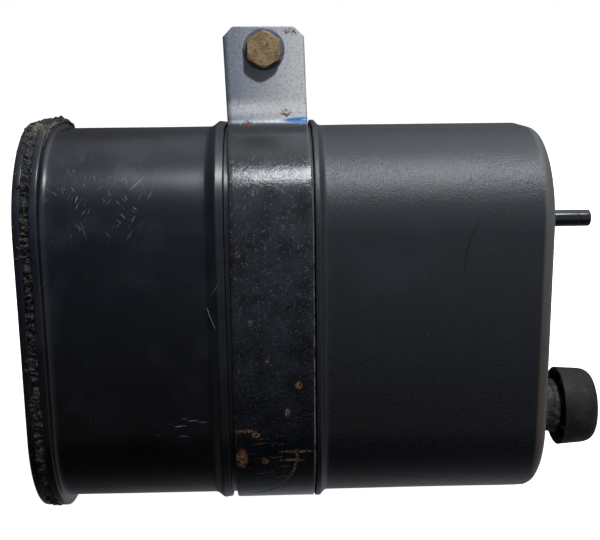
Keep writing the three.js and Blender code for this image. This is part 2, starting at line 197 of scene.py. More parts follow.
def arc_score(at, centre, radius, width, window):
    """A mask of one thin curved score: a ring in the XZ plane, in millimetres, shown inside a window mask."""
    tree = at.id_data
    near = add(tree, "ShaderNodeVectorMath", {0: at, 1: in_metres(*centre)}, operation="SUBTRACT")
    flat = add(tree, "ShaderNodeVectorMath", {0: near.outputs[0], 1: (1, 0, 1)}, operation="MULTIPLY")
    away = add(tree, "ShaderNodeVectorMath", {0: flat.outputs[0]}, operation="LENGTH")
    off = add(tree, "ShaderNodeMath", {0: away.outputs["Value"], 1: radius * MM}, operation="SUBTRACT")
    size = add(tree, "ShaderNodeMath", {0: off.outputs[0]}, operation="ABSOLUTE")
    return times(rising(size.outputs[0], width * MM, 0.0), window)


def times(*masks):
    """The product of masks and numbers, the first of them a mask."""
    made = masks[0]
    for mask in masks[1:]:
        made = add(made.id_data, "ShaderNodeMath", {0: made, 1: mask}, operation="MULTIPLY").outputs[0]
    return made


def highest(*masks):
    """The largest of several masks at each place."""
    made = masks[0]
    for mask in masks[1:]:
        made = add(made.id_data, "ShaderNodeMath", {0: made, 1: mask}, operation="MAXIMUM").outputs[0]
    return made


def layered(base, *layers):
    """A colour with others laid over it: each layer is its colour, its strength and the masks that shape it."""
    made = colour(base)
    for over, strength, *masks in layers:
        share = times(*masks, strength) if strength < 1 else times(*masks)
        mix = add(share.id_data, "ShaderNodeMix", {0: share, 6: made, 7: colour(over)}, data_type="RGBA")
        made = mix.outputs[2]
    return made


def blended(base, *layers):
    """The same for a plain number, such as a roughness: each layer is a mask and its number."""
    made = base
    for mask, over in layers:
        made = add(mask.id_data, "ShaderNodeMix", {0: mask, 2: made, 3: over}, data_type="FLOAT").outputs[0]
    return made


def raised(*reliefs):
    """A normal with several reliefs on it: each is a height mask and its depth in millimetres."""
    normal = None
    for height, depth in reliefs:
        inputs = {"Height": height, "Distance": abs(depth) * MM, "Strength": 1.0}
        if normal is not None:
            inputs["Normal"] = normal
        normal = add(height.id_data, "ShaderNodeBump", inputs, invert=depth < 0).outputs[0]
    return normal


def finish(made, shader, links, **values):
    """Links the shader's patterns, sets its plain values on its own sockets and gives the material back."""
    for name, value in values.items():
        shader.inputs[name.replace("_", " ")].default_value = value
    for name, source in links.items():
        made.node_tree.links.new(source, shader.inputs[name])
    return made


# ---- Finishes ----
# rust through the band's paint: each mark's middle (x, z) and its reach along x and z, in millimetres
RUST_MARKS = [
    (-11.1, -76.3, 1.0, 1.4), (-7.0, -102.9, 0.9, 1.0), (-0.7, -118.2, 0.8, 1.1),
    (11.5, -128.5, 1.3, 1.5), (7.0, -140.0, 0.9, 1.8), (-5.8, -149.0, 1.6, 1.1),
    (-10.0, -147.3, 4.2, 0.6), (-11.4, -159.5, 2.0, 4.2), (10.6, -156.5, 6.4, 0.6),
    (8.6, -160.5, 4.6, 0.5), (-1.9, -161.0, 1.5, 1.2), (-7.0, -29.0, 1.6, 1.2), (8.3, -25.2, 2.2, 1.6),
    (10.5, 6.6, 3.0, 1.4),
]


def moulded_nylon():
    """Moulded black nylon: gloss from a polished mould at the cover, fine spark-eroded grain at the ports,
    lighter towards the top from a dust film and painted top light, with a painted sheen on the rounded port
    end.
    """
    made, tree, shader, at = material("black_nylon_moulded")
    where = add(tree, "ShaderNodeSeparateXYZ", {"Vector": at}).outputs
    grained = rising(where[0], BAND_MIDDLE - 4 * MM, BAND_MIDDLE + 4 * MM, soft=False)
    polished = add(tree, "ShaderNodeMath", {0: 1.0, 1: grained}, operation="SUBTRACT").outputs[0]
    # 1 at the top and 0 low down: a dust film and painted top light, the wall painted lighter near the top as
    #                              if lit from above
    dust_film_and_top_light = rising(where[2], -150 * MM, -50 * MM)
    smudges = blotches(at, 24, 0.46, 0.72, 5, 1.0)
    haze = blotches(at, 70, 0.4, 0.65, 2, 2.0)
    dust = blotches(at, 1.4, 0.68, 0.78, 2, 3.0)
    # spark-eroded grain is 0.1 to 0.3 mm wide; it is drawn at 0.5 mm so that it shows
    grain = add(tree, "ShaderNodeTexNoise", {"Vector": at, "Scale": per_mm(0.5), "Detail": 2.0})
    pits = blotches(at, 1.0, 0.5, 0.75, 2, 4.0)
    rubbed = times(spot(at, (-60, -30, -55), (30, 40, 24), 0.7), blotches(at, 14, 0.42, 0.56, 2, 5.0))
    fine = highest(
        scores(at, 1.05, 0.6, 7, 0.665, 1.0),
        scores(at, 0.75, 0.6, 12, 0.68, 2.0),
        scores(at, -0.8, 0.6, 8, 0.67, 3.0),
        scores(at, -1.3, 0.6, 12, 0.69, 4.0),
    )
    few = highest(scores(at, 0.9, 0.9, 22, 0.745, 5.0), scores(at, -1.2, 0.9, 18, 0.745, 6.0))
    low_patch = times(spot(at, (-34, -34, -146), (14, 30, 7), 0.8), scores(at, 0.08, 0.8, 10, 0.62, 7.0))
    rib_score = arc_score(at, (2, 0, -92), 26, 0.25, spot(at, (-20, -34, -101), (8, 30, 5), 0.4))
    dark_score = arc_score(at, (110, 0, -84), 34, 0.5, spot(at, (78, -30, -75), (12, 40, 13), 0.4))
    tan_mark = times(spot(at, (-87.5, -14, -28), (6, 15, 5), 0.5), blotches(at, 4, 0.35, 0.5, 4, 9.0))
    # painted sheen: the rounded port end is painted lighter in patches, as if catching the light, and lighter
    # still at the top
    end = rising(where[0], PORT_END - 5.4 * MM, PORT_END - 4.2 * MM, soft=False)
    port_end_painted_sheen = times(end, blotches(at, 9, 0.1, 0.4, 4, 9.5))
    port_end_sheen_tone = layered("#3b342f", ("#4b4c4a", 1, dust_film_and_top_light))
    light_marks = highest(
        times(fine, rubbed, polished),
        times(few, polished, 0.35),
        times(low_patch, polished),
        rib_score,
    )
    base = layered(
        "#010102",
        ("#010103", 1, grained),
        # dust film and painted top light on both halves, fading towards the bottom
        ("#080b16", 0.9, dust_film_and_top_light, polished),
        ("#1d2026", 0.9, dust_film_and_top_light, grained),
        ("#23272f", 0.5, smudges, dust_film_and_top_light),
        ("#050506", 0.35, pits, grained, dust_film_and_top_light),
        ("#55544f", 0.2, dust),
        ("#7d838f", 0.65, light_marks),
        ("#050505", 0.7, dark_score),
        ("#4d493d", 0.8, tan_mark),
        # painted sheen on the rounded port end
        (port_end_sheen_tone, 0.8, port_end_painted_sheen),
    )
    rough = blended(
        0.27,
        (haze, 0.34), (smudges, 0.42), (grained, 0.355),
        (times(pits, grained), 0.6),
        (light_marks, 0.55),
    )
    relief = raised(
        (blotches(at, 9, 0.2, 0.8, 3, 8.0), 0.03),
        (times(grain.outputs[0], grained), 0.16),
        (times(light_marks, -1.0), 0.03),
        (times(dark_score, -1.0), 0.12),
    )
    return finish(made, shader, {"Base Color": base, "Roughness": rough, "Normal": relief}, IOR=1.53)


def weld_plastic():
    """Nylon squeezed out of the weld and torn: dull, porous and dusty, with a brown cast."""
    made, tree, shader, at = material("torn_weld_flash_nylon")
    pores = add(tree, "ShaderNodeTexVoronoi", {"Vector": at, "Scale": per_mm(1.1), "Randomness": 1.0})
    crumbs = add(tree, "ShaderNodeTexNoise", {"Vector": at, "Scale": per_mm(0.9), "Detail": 6.0})
    dusty = blotches(at, 1.2, 0.56, 0.72, 3, 1.0)
    brown = blotches(at, 9, 0.5, 0.7, 4, 2.0)
    tan_place = spot(at, (-86, -8, -28), (12, 22, 9), 0.7)
    tan_mark = times(tan_place, blotches(at, 5, 0.4, 0.55, 5, 3.0))
    base = layered("#060606", ("#15110e", 0.5, brown), ("#34322e", 0.5, dusty), ("#5f5a4c", 1, tan_mark))
    relief = raised((pores.outputs[0], 0.5), (crumbs.outputs[0], 0.6))
    return finish(made, shader, {"Base Color": base, "Normal": relief}, Roughness=0.55, IOR=1.53)


def painted_steel():
    """Gloss black paint on a rolled steel strip: dusty scores, rust through chips, bare edges and tab, with
    painted light and shade: the tab's right side painted lighter, a painted highlight at its bend, painted
    shade at its crease and left edge, and a painted reflection on the turn over the box.
    """
    made, tree, shader, at = material("worn_black_paint_on_steel")
    across = add(tree, "ShaderNodeAttribute", {}, attribute_name="across").outputs["Fac"]
    where = add(tree, "ShaderNodeSeparateXYZ", {"Vector": at}).outputs
    height = where[2]
    half = BAND_WIDTH / 2
    # where along the strip: the bare tab, its bend with a painted highlight, the turn over the box, rougher and
    # with a painted reflection, the painted shade of its crease and the low part
    tab = rising(height, -30.5 * MM, -28.5 * MM, soft=False)
    low = rising(height, -120 * MM, -185 * MM, soft=False)
    above = rising(height, -27.5 * MM, -24 * MM)
    below = rising(height, -18 * MM, -23 * MM)
    # the turn over the box: rougher paint, and a lighter colour as a painted reflection
    dull = rising(height, -43 * MM, -35 * MM)
    # painted shade: a dark, rough line along the fold at the tab's foot
    crease_painted_shade = spot(at, (BAND_MIDDLE / MM, -5, -30.6), (80, 60, 2.6), 0.6)
    fade_ramp = {"Value": height, "From Min": -150 * MM, "From Max": -70 * MM, "To Min": 0.12}
    fade = add(tree, "ShaderNodeMapRange", fade_ramp).outputs[0]
    # where across it
    right_edge = rising(across, half - 0.7 * MM, half - 0.3 * MM, soft=False)
    left_edge = rising(across, 2.4 * MM - half, 0.2 * MM - half, soft=False)
    # the right side, where the tab is painted lighter as if lit from the right
    right_side_painted_light = rising(where[0], -12 * MM, 12 * MM, soft=False)
    # rust, chips and bare steel, then the bend's painted highlight and painted shade along the tab's left edge
    chips = blotches(at, 2.2, 0.7, 0.73, 4, 1.0)
    stains = [spot(at, (x, -25, z), (1.4 * rx, 120, 1.4 * rz), 0.6) for x, z, rx, rz in RUST_MARKS]
    ragged = blotches(at, 0.9, 0.43, 0.55, 5, 2.0)
    low_scores = times(scores(at, 0.2, 1.0, 12, 0.66, 2.5), low)
    window = spot(at, (5, -30, -171), (17, 45, 18), 0.3)
    curved = arc_score(at, (-12.4, 0, -158), 23, 0.9, window)
    rust_place = times(highest(*stains, curved, times(low_scores, 0.7)), ragged)
    brown_edge = times(left_edge, blotches(at, 3, 0.5, 0.6, 4, 4.5))
    bare = times(right_edge, blotches(at, 5, 0.36, 0.55, 4, 4.0))
    # painted highlight: a bright band across the tab's bend
    bend_painted_highlight = times(above, below, blotches(at, 5, 0.25, 0.55, 5, 15.0))
    # painted shade along the tab's left edge
    left_edge_painted_shade = times(left_edge, tab)
    # fine wear, dust and a smear of blue paint
    strokes = [
        scores(at, angle, 0.5, length, threshold, seed)
        for angle, length, threshold, seed in ((1.3, 3, 0.64, 7), (0.6, 4.5, 0.65, 8), (-0.5, 2.5, 0.66, 9))
    ]
    fine = times(highest(*strokes), blotches(at, 16, 0.36, 0.56, 3, 9.5), fade)
    dust = blotches(at, 0.8, 0.63, 0.7, 2, 10.0)
    haze = blotches(at, 9, 0.3, 0.65, 5, 16.0)
    speckle = blotches(at, 0.9, 0.45, 0.7, 3, 12.5)
    smear = spot(at, (16, -5, -27.9), (11, 12, 1.5), 0.4)
    blue = times(smear, blotches(at, 3, 0.3, 0.42, 4, 11.0))
    base = layered(
        "#030407",
        ("#20262f", 0.8, haze, fade),
        ("#5d6169", 0.5, fine),
        ("#7d7e80", 0.45, dust, fade),
        # painted reflection: the turn over the box painted lighter
        ("#1b1d1e", 0.8, dull),
        ("#7b828e", 1, tab),
        # painted light: the tab's right side painted lighter
        ("#c6c8cb", 0.9, right_side_painted_light, tab),
        # painted highlight at the tab's bend
        ("#d9dbde", 0.8, bend_painted_highlight),
        # painted shade along the fold
        ("#1e2228", 0.9, crease_painted_shade),
        ("#474d58", 0.45, speckle, tab),
        ("#c4c8cc", 0.5, fine, tab),
        # painted shade along the tab's left edge
        ("#1d2127", 0.8, left_edge_painted_shade),
        ("#76736d", 0.6, bare),
        ("#2c2119", 0.6, brown_edge),
        ("#3b2a1e", 0.7, chips),
        ("#5a3c25", 1, rust_place),
        ("#1d5c9e", 1, blue),
    )
    metal = blended(0.0, (tab, 0.3), (times(bare, 0.8), 0.4), (rust_place, 0.0), (blue, 0.0))
    rough = blended(
        0.16,
        (blotches(at, 18, 0.4, 0.7, 4, 12.0), 0.24),
        (dull, 0.4),
        (crease_painted_shade, 0.8),
        (times(fine, 0.6), 0.45),
        (rust_place, 0.85),
        (blue, 0.5),
    )
    relief = raised(
        (blotches(at, 6, 0.2, 0.8, 3, 13.0), 0.04),
        (speckle, 0.02),
        (times(dust, -1.0), 0.012),
        (times(fine, -1.0), 0.02),
        (times(rust_place, -1.0), 0.12),
    )
    links = {"Base Color": base, "Roughness": rough, "Metallic": metal, "Normal": relief}
    return finish(made, shader, links)


def rusty_zinc():
    """Zinc-plated steel fastener gone dull olive and brown: matt plating with rust in the pits."""
    made, tree, shader, at = material("rusted_zinc_plated_steel")
    rust = blotches(at, 3.2, 0.44, 0.62, 6, 1.0)
    dark = blotches(at, 1.7, 0.56, 0.7, 4, 2.0)
    pale = blotches(at, 2.6, 0.6, 0.74, 4, 3.0)
    base = layered("#857558", ("#664c33", 0.8, rust), ("#33261b", 0.8, dark), ("#a1967c", 0.7, pale))
    metal = blended(0.2, (rust, 0.05), (dark, 0.0))
    rough = blended(0.45, (rust, 0.75), (pale, 0.38))
    relief = raised((blotches(at, 1.1, 0.3, 0.7, 5, 4.0), 0.12), (dark, -0.1))
    links = {"Base Color": base, "Metallic": metal, "Roughness": rough, "Normal": relief}
    return finish(made, shader, links)


def dulled_zinc():
    """Dull grey-blue zinc on the washer, close to the tab's own worn colour."""
    made, tree, shader, at = material("dulled_zinc_washer")
    stain = blotches(at, 2.4, 0.45, 0.65, 5, 1.0)
    base = layered("#596170", ("#33343a", 0.7, stain))
    rough = blended(0.42, (stain, 0.6))
    relief = raised((blotches(at, 1.0, 0.3, 0.7, 4, 2.0), 0.05))
    return finish(made, shader, {"Base Color": base, "Roughness": rough, "Normal": relief}, Metallic=0.3)


def gloss_tube():
    """Extruded black polyamide tube: smooth gloss with fine length-wise drawing lines."""
    made, tree, shader, at = material("black_polyamide_tube_extruded")
    drawn = add(tree, "ShaderNodeMapping", {"Vector": at, "Scale": (per_mm(30), per_mm(0.7), per_mm(0.7))})
    lines = add(tree, "ShaderNodeTexNoise", {"Vector": drawn.outputs[0], "Scale": 1.0, "Detail": 2.0})
    smudge = blotches(at, 9, 0.5, 0.7, 3, 1.0)
    base = layered("#08090d", ("#15161c", 0.4, smudge))
    rough = blended(0.16, (smudge, 0.3))
    relief = raised((lines.outputs[0], 0.02))
    return finish(made, shader, {"Base Color": base, "Roughness": rough, "Normal": relief}, IOR=1.53)


def dusty_rubber():
    """Moulded rubber with a bloom of dust: dark brown-grey, matt and faintly pitted."""
    made, tree, shader, at = material("dusty_moulded_rubber")
    bloom = blotches(at, 7, 0.38, 0.68, 6, 1.0)
    pale = blotches(at, 1.8, 0.58, 0.74, 4, 2.0)
    base = layered("#040404", ("#1f1a18", 0.9, bloom), ("#575048", 0.4, pale))
    relief = raised((blotches(at, 1.0, 0.3, 0.7, 4, 3.0), 0.08), (bloom, 0.04))
    rough = blended(0.55, (bloom, 0.78))
    return finish(made, shader, {"Base Color": base, "Roughness": rough, "Normal": relief}, IOR=1.38)


def dusty_nylon():
    """The neck's nylon: grained like the box, with settled grey dust and a few olive stains."""
    made, tree, shader, at = material("dusty_grained_nylon")
    dust = blotches(at, 2.5, 0.42, 0.62, 6, 1.0)
    stain = blotches(at, 5, 0.62, 0.68, 4, 2.0)
    grain = add(tree, "ShaderNodeTexNoise", {"Vector": at, "Scale": per_mm(0.8), "Detail": 3.0})
    base = layered("#070707", ("#3c3936", 0.8, dust), ("#57511f", 0.8, stain))
    relief = raised((grain.outputs[0], 0.25), (dust, 0.1))
    return finish(made, shader, {"Base Color": base, "Normal": relief}, Roughness=0.7, IOR=1.53)


def pressed_felt():
    """Pressed polyester felt: pale grey-brown, matt, with short tangled fibres."""
    made, tree, shader, at = material("pressed_polyester_felt")
    tangled = {"Vector": at, "Scale": per_mm(0.7), "Detail": 6.0, "Distortion": 2.0}
    fibres = add(tree, "ShaderNodeTexNoise", tangled)
    soot = blotches(at, 12, 0.45, 0.7, 4, 1.0)
    base = layered("#8e8775", ("#a9a390", 1, fibres.outputs[0]), ("#4f4b43", 0.6, soot))
    relief = raised((fibres.outputs[0], 0.3))
    return finish(made, shader, {"Base Color": base, "Normal": relief}, Roughness=0.95, Sheen_Weight=0.4)


def carbon_granules():
    """Packed carbon granules of 2 to 3 mm: matt black grains with a faint dry sparkle."""
    made, tree, shader, at = material("packed_carbon_granules")
    grains = add(tree, "ShaderNodeTexVoronoi", {"Vector": at, "Scale": per_mm(2.4)})
    tone = add(tree, "ShaderNodeSeparateColor", {"Color": grains.outputs["Color"]})
    base = layered("#101010", ("#242424", 1, tone.outputs[0]))
    relief = raised((grains.outputs[0], -1.2))
    return finish(made, shader, {"Base Color": base, "Normal": relief}, Roughness=0.8)


def spring_steel():
    """Drawn spring wire: bright steel with a faint grey-brown tarnish."""
    made, tree, shader, at = material("drawn_spring_steel")
    tarnish = blotches(at, 6, 0.45, 0.7, 4, 1.0)
    base = layered("#b4b2ac", ("#7d7466", 0.7, tarnish))
    rough = blended(0.28, (tarnish, 0.45))
    return finish(made, shader, {"Base Color": base, "Roughness": rough}, Metallic=1.0)


NYLON = moulded_nylon()
FLASH = weld_plastic()
BAND = painted_steel()
ZINC = rusty_zinc()
WASHER_ZINC = dulled_zinc()
TUBE = gloss_tube()
RUBBER = dusty_rubber()
NECK = dusty_nylon()
FELT = pressed_felt()
GRANULES = carbon_granules()
SPRING = spring_steel()


# ---- Mesh building ----
def rounded(points, steps=5):
    """A line of (a, b, radius) points as (a, b) pairs, its corners rounded by radii in millimetres."""
    made = []
    for k, (a, b, radius) in enumerate(points):
        here = Vector((a, b))
        if radius <= 0 or k in (0, len(points) - 1):
            made.append((a, b))
            continue
        before = Vector(points[k - 1][:2]) - here
        after = Vector(points[k + 1][:2]) - here
        start = here + before.normalized() * min(radius * MM, before.length * 0.48)
        end = here + after.normalized() * min(radius * MM, after.length * 0.48)
        for step in range(steps + 1):
            t = step / steps
            made.append(tuple((1 - t) ** 2 * start + 2 * t * (1 - t) * here + t * t * end))
    return made


def divided(points, longest):
    """The same line with no stretch longer than `longest`."""
    made = [points[0]]
    for a, b in zip(points, points[1:]):
        count = max(1, math.ceil(math.dist(a, b) / longest))
        for k in range(1, count + 1):
            made.append(tuple(p + (q - p) * k / count for p, q in zip(a, b)))
    return made


def mesh_piece(name, points, faces, finish_material, sharp=32):
    """An object from points and faces, shaded smooth except at edges sharper than `sharp` degrees."""
    mesh = bpy.data.meshes.new(name)
    mesh.from_pydata([tuple(p) for p in points], [], faces)
    mesh.validate()
    mesh.shade_smooth()
    mesh.set_sharp_from_angle(angle=math.radians(sharp))
    mesh.materials.append(finish_material)
    made = bpy.data.objects.new(name, mesh)
    bpy.context.scene.collection.objects.link(made)
    return made


def outward(piece):
    """Turns a closed piece's faces outwards."""
    work = bmesh.new()
    work.from_mesh(piece.data)
    bmesh.ops.recalc_face_normals(work, faces=work.faces)
    work.to_mesh(piece.data)
    work.free()
    return piece


def tube_faces(rings, count, closed=False):
    """Quads between rings of `count` points; closed joins the last ring to the first."""
    faces = []
    for ring in range(rings if closed else rings - 1):
        low, high = ring * count, ((ring + 1) % rings) * count
        for k in range(count):
            beside = (k + 1) % count
            faces.append((low + k, low + beside, high + beside, high + k))
    return faces


def capped(name, rings, finish_material, sharp=32):
    """A closed piece through rings of points, with a fan over each end."""
    rings = np.asarray(rings)
    steps, count = rings.shape[:2]
    points = rings.reshape(-1, 3)
    first, last = len(points), len(points) + 1
    points = np.vstack([points, rings[0].mean(0), rings[-1].mean(0)])
    faces = tube_faces(steps, count)
    end = (steps - 1) * count
    for k in range(count):
        beside = (k + 1) % count
        faces.append((first, beside, k))
        faces.append((last, end + k, end + beside))
    return outward(mesh_piece(name, points, faces, finish_material, sharp))


def solved(piece):
    """Turns a piece's modifiers into its mesh."""
    bpy.context.view_layer.update()
    mesh = bpy.data.meshes.new_from_object(piece.evaluated_get(bpy.context.evaluated_depsgraph_get()))
    piece.modifiers.clear()
    old = piece.data
    piece.data = mesh
    mesh.name = piece.name
    bpy.data.meshes.remove(old)
    return piece


def bored(piece, *cutters):
    """The piece with other closed pieces cut out of it; the cutters are used up."""
    for cutter in cutters:
        cut = piece.modifiers.new("cut", "BOOLEAN")
        cut.operation = "DIFFERENCE"
        cut.solver = "EXACT"
        cut.object = cutter
    solved(piece)
    for cutter in cutters:
        bpy.data.objects.remove(cutter)
    piece.data.shade_smooth()
    piece.data.set_sharp_from_angle(angle=math.radians(32))
    return piece


def lathe(name, profile, centre, axis, finish_material, segments=96, closed=False, sharp=32):
    """A piece turned about a line along X or Y through centre: profile is (along, radius) pairs."""
    rings = []
    for along, radius in profile:
        radius = max(radius, 0.01 * MM)
        ring = []
        for k in range(segments):
            u, v = radius * math.cos(TURN * k / segments), radius * math.sin(TURN * k / segments)
            place = (along, centre.y + u, centre.z + v) if axis == "X" else (centre.x + u, along, centre.z + v)
            ring.append(place)
        rings.append(ring)
    if not closed:
        return capped(name, rings, finish_material, sharp)
    points = np.asarray(rings).reshape(-1, 3)
    faces = tube_faces(len(rings), segments, closed=True)
    return outward(mesh_piece(name, points, faces, finish_material, sharp))


def declare(piece, body, slot, *nodes):
    """Puts a finished piece on its body and hides the solids that it stands for; its slot is not used."""
    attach(piece, body)
    if nodes:
        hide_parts(*nodes)


# ---- The box's section ----
CORNER_STEPS = 26


def section(grow, across=10, up=34):
    """Points (y, z) and outward normals round the box's rounded section, grown by `grow` from its skin."""
    y, z, r = HALF_Y + grow, HALF_Z + grow, CORNER + grow
    centres = [(y - r, z - r), (r - y, z - r), (r - y, r - z), (y - r, r - z)]
    runs = [across, up, across, up]
    points, normals = [], []
    for quarter, (cy, cz) in enumerate(centres):
        for step in range(CORNER_STEPS + 1):
            angle = (quarter + step / CORNER_STEPS) * math.pi / 2
            normals.append((math.cos(angle), math.sin(angle)))
            points.append((cy + r * math.cos(angle), cz + r * math.sin(angle)))
        end = (quarter + 1) * math.pi / 2
        start_point = points[-1]
        ny, nz = centres[(quarter + 1) % 4]
        end_point = (ny + r * math.cos(end), nz + r * math.sin(end))
        for step in range(1, runs[quarter]):
            t = step / runs[quarter]
            points.append(tuple(a + (b - a) * t for a, b in zip(start_point, end_point)))
            normals.append((math.cos(end), math.sin(end)))
    return np.array(points), np.array(normals)


def section_rings(stations, ripple=0.0, from_station=0):
    """Rings of 3-D points for (x, grow) stations; ripple bows the wall a little in and out."""
    rings = []
    for number, (x, grow) in enumerate(stations):
        points, normals = section(grow)
        ring = []
        for (y, z), (ny, nz) in zip(points, normals):
            bow = 0.0
            if ripple and number >= from_station:
                bow = ripple * noise.noise(Vector((x, y, z)) * per_mm(42))
            ring.append((x, MIDDLE.y + y + ny * bow, MIDDLE.z + z + nz * bow))
        rings.append(ring)
    return rings


def body_shell():
    """The moulded box: thin walls, welding flange, two locating ribs and a rounded port end."""
    flange_back = FLANGE_FACE + FLANGE_LENGTH
    left = BAND_MIDDLE - 18.3 * MM
    right = BAND_RIGHT + 0.5 * MM
    core = CORNER - 8 * MM
    inner = [(INNER_END, -core, 0), (INNER_END, -WALL, (END_ROUND - WALL) / MM), (FLANGE_FACE, -WALL, 0.4)]
    outer = [
        (FLANGE_FACE, FLANGE_PROUD, 0.7), (flange_back, FLANGE_PROUD, 0.7),
        (flange_back, 0, 2.4), (left - 6.4 * MM, 0, 1.2),
        (left - 3.4 * MM, RIB_HEIGHT, 0.7), (left - 1.4 * MM, RIB_HEIGHT * 0.86, 0.5),
        (left, RIB_HEIGHT * 0.8, 0.5), (left, 0, 0.5), (right, 0, 0.5),
        (right, RIB_HEIGHT, 0.5), (right + 2 * MM, RIB_HEIGHT, 0.6),
        (right + 4 * MM, 0, 1.2),
    ]
    front = divided(rounded(inner), 12 * MM)
    back = divided(rounded([(*front[-1], 0), *outer, (PORT_END - END_ROUND, 0, 0)]), 2.6 * MM)
    turn = []
    for k in range(1, 15):
        angle = k * math.pi / 28
        turn.append((PORT_END - END_ROUND * (1 - math.sin(angle)), -END_ROUND * (1 - math.cos(angle))))
    stations = front + back[1:] + turn + [(PORT_END, -(END_ROUND + core) / 2), (PORT_END, -core)]
    shell = capped("box_shell", section_rings(stations, 0.16 * MM, len(front) + 6), NYLON)
    cutters = []
    for low, high, grip in ((nipple_low, nipple_high, 3.75 * MM), (neck_low, neck_high, 6.65 * MM)):
        centre = (low + high) / 2
        inside, outside = INNER_END - 3 * MM, PORT_END + 3 * MM
        profile = [(inside, 0), (inside, grip), (outside, grip), (outside, 0)]
        cutters.append(lathe("cutter", profile, centre, "X", NYLON, 64))
    declare(bored(shell, *cutters), "canister", "moulded_nylon", "body_shell")


def end_cover():
    """The welded cover: a plate with a recessed panel, its rim turned in to a welding land."""
    face = cover_low.x
    plate = face + 3.2 * MM
    proud, land, panel = 3.9 * MM, 2 * MM, -9 * MM
    stations = rounded(
        [
            (face + 1.2 * MM, -30 * MM, 0), (face + 1.2 * MM, panel, 0.5), (face, panel, 0.5),
            (face, proud, 1.3), (plate, proud, 0.3), (plate, land, 0.2),
            (cover_high.x - 3.2 * MM, land, 0.2), (cover_high.x - 3.2 * MM, -WALL, 0.2),
            (plate, -WALL, 0.4), (plate, -30 * MM, 0),
        ]
    )
    declare(capped("cover_plate", section_rings(stations), NYLON), "canister", "moulded_nylon", "end_cover")


def weld_flash():
    """The roll of plastic squeezed out of the weld: lumpy, torn, and heavier at two corners."""
    around, through = 1300, 26
    low_x, high_x = cover_low.x + 0.1 * MM, FLANGE_FACE + 1.7 * MM
    middle, half = (low_x + high_x) / 2, (high_x - low_x) / 2
    base_points, normals = fine_section(around)
    most = MIDDLE.y - flash_low.y - HALF_Y
    rings = []
    for (y, z), (ny, nz) in zip(base_points, normals):
        ring = []
        heavy = math.exp(-(((z - HALF_Z) / (16 * MM)) ** 2)) if y < HALF_Y * 0.7 else 0.0
        foot = 0.7 * math.exp(-(((z + HALF_Z) / (12 * MM)) ** 2)) if y < 0 else 0.0
        for k in range(through):
            angle = TURN * k / through
            facing = max(0.0, math.cos(angle))
            place = Vector((middle + half * (1 + 0.5 * heavy) * math.sin(angle), y, z))
            torn = noise.turbulence(place * per_mm(2.3), 5, False)
            lump = noise.noise(place * per_mm(8))
            reach = 2.75 * MM + 1.55 * MM * math.cos(angle)
            reach += ((torn - 0.5) * 1.9 + lump * 0.6 + (heavy + foot) * 0.5) * MM * facing
            limit = most + 2 * MM * heavy * max(0.0, nz)
            if reach > limit - 0.5 * MM:
                over = reach - limit + 0.5 * MM
                reach = limit - 0.5 * MM * math.exp(-over / (0.5 * MM))
            push = noise.noise(place * per_mm(2.2) + Vector((7, 0, 0))) * 0.8 + heavy * 1.6
            x = place.x + push * MM * facing
            ring.append((max(x, cover_low.x + 0.1 * MM), MIDDLE.y + y + ny * reach, MIDDLE.z + z + nz * reach))
        rings.append(ring)
    points = np.asarray(rings).reshape(-1, 3)
    bead = outward(mesh_piece("weld_bead", points, tube_faces(around, through, True), FLASH, 60))
    declare(bead, "canister", "weld_flash", "weld_flash")
    return bead


def fine_section(count):
    """`count` evenly spaced points and normals round the box's skin."""
    points, normals = section(0)
    loop = np.vstack([points, points[:1]])
    turn = np.vstack([normals, normals[:1]])
    reach = np.concatenate([[0], np.cumsum(np.linalg.norm(np.diff(loop, axis=0), axis=1))])
    wanted = np.linspace(0, reach[-1], count, endpoint=False)
    place = np.stack([np.interp(wanted, reach, loop[:, k]) for k in (0, 1)], 1)
    facing = np.stack([np.interp(wanted, reach, turn[:, k]) for k in (0, 1)], 1)
    return place, facing / np.linalg.norm(facing, axis=1)[:, None]


# ---- The clamp band ----
def band_line():
    """The strip's middle line in (y, z), from the front tab's top round the box to the rear tab's top."""
    reach = BAND_GAP + BAND_THICK / 2
    radius = CORNER + reach
    corner_y, corner_z = HALF_Y - CORNER, HALF_Z - CORNER
    near, far = MIDDLE.y - corner_y, MIDDLE.y + corner_y
    top, foot = MIDDLE.z + corner_z, MIDDLE.z - corner_z
    front_y = -(TAB_SLOT + BAND_THICK) / 2
    bend_y = front_y - FRONT_BEND
    bend_z = top + math.sqrt((radius + FRONT_BEND) ** 2 - (bend_y - near) ** 2)
    bend = math.atan2(top - bend_z, near - bend_y)
    rear_z = MIDDLE.z + HALF_Z + reach + REAR_BEND
    arcs = [
        (bend_y, bend_z, FRONT_BEND, 0, bend, 14), (near, top, radius, bend + math.pi, math.pi, 24),
        (near, foot, radius, math.pi, 1.5 * math.pi, 24), (far, foot, radius, 1.5 * math.pi, TURN, 24),
        (far, top, radius, 0, math.pi / 2, 24),
        (-front_y + REAR_BEND, rear_z, REAR_BEND, -math.pi / 2, -math.pi, 14),
    ]
    line = [(front_y, TAB_TOP)]
    for y, z, r, start, end, steps in arcs:
        for step in range(steps + 1):
            angle = start + (end - start) * step / steps
            line.append((y + r * math.cos(angle), z + r * math.sin(angle)))
    line.append((-front_y, TAB_TOP))
    return divided(line, 1.6 * MM)


def tab_half_width(z):
    """Half the strip's width at height z: its top corners are cut off straight."""
    return BAND_WIDTH / 2 - max(0.0, TAB_CUT - (TAB_TOP - z))


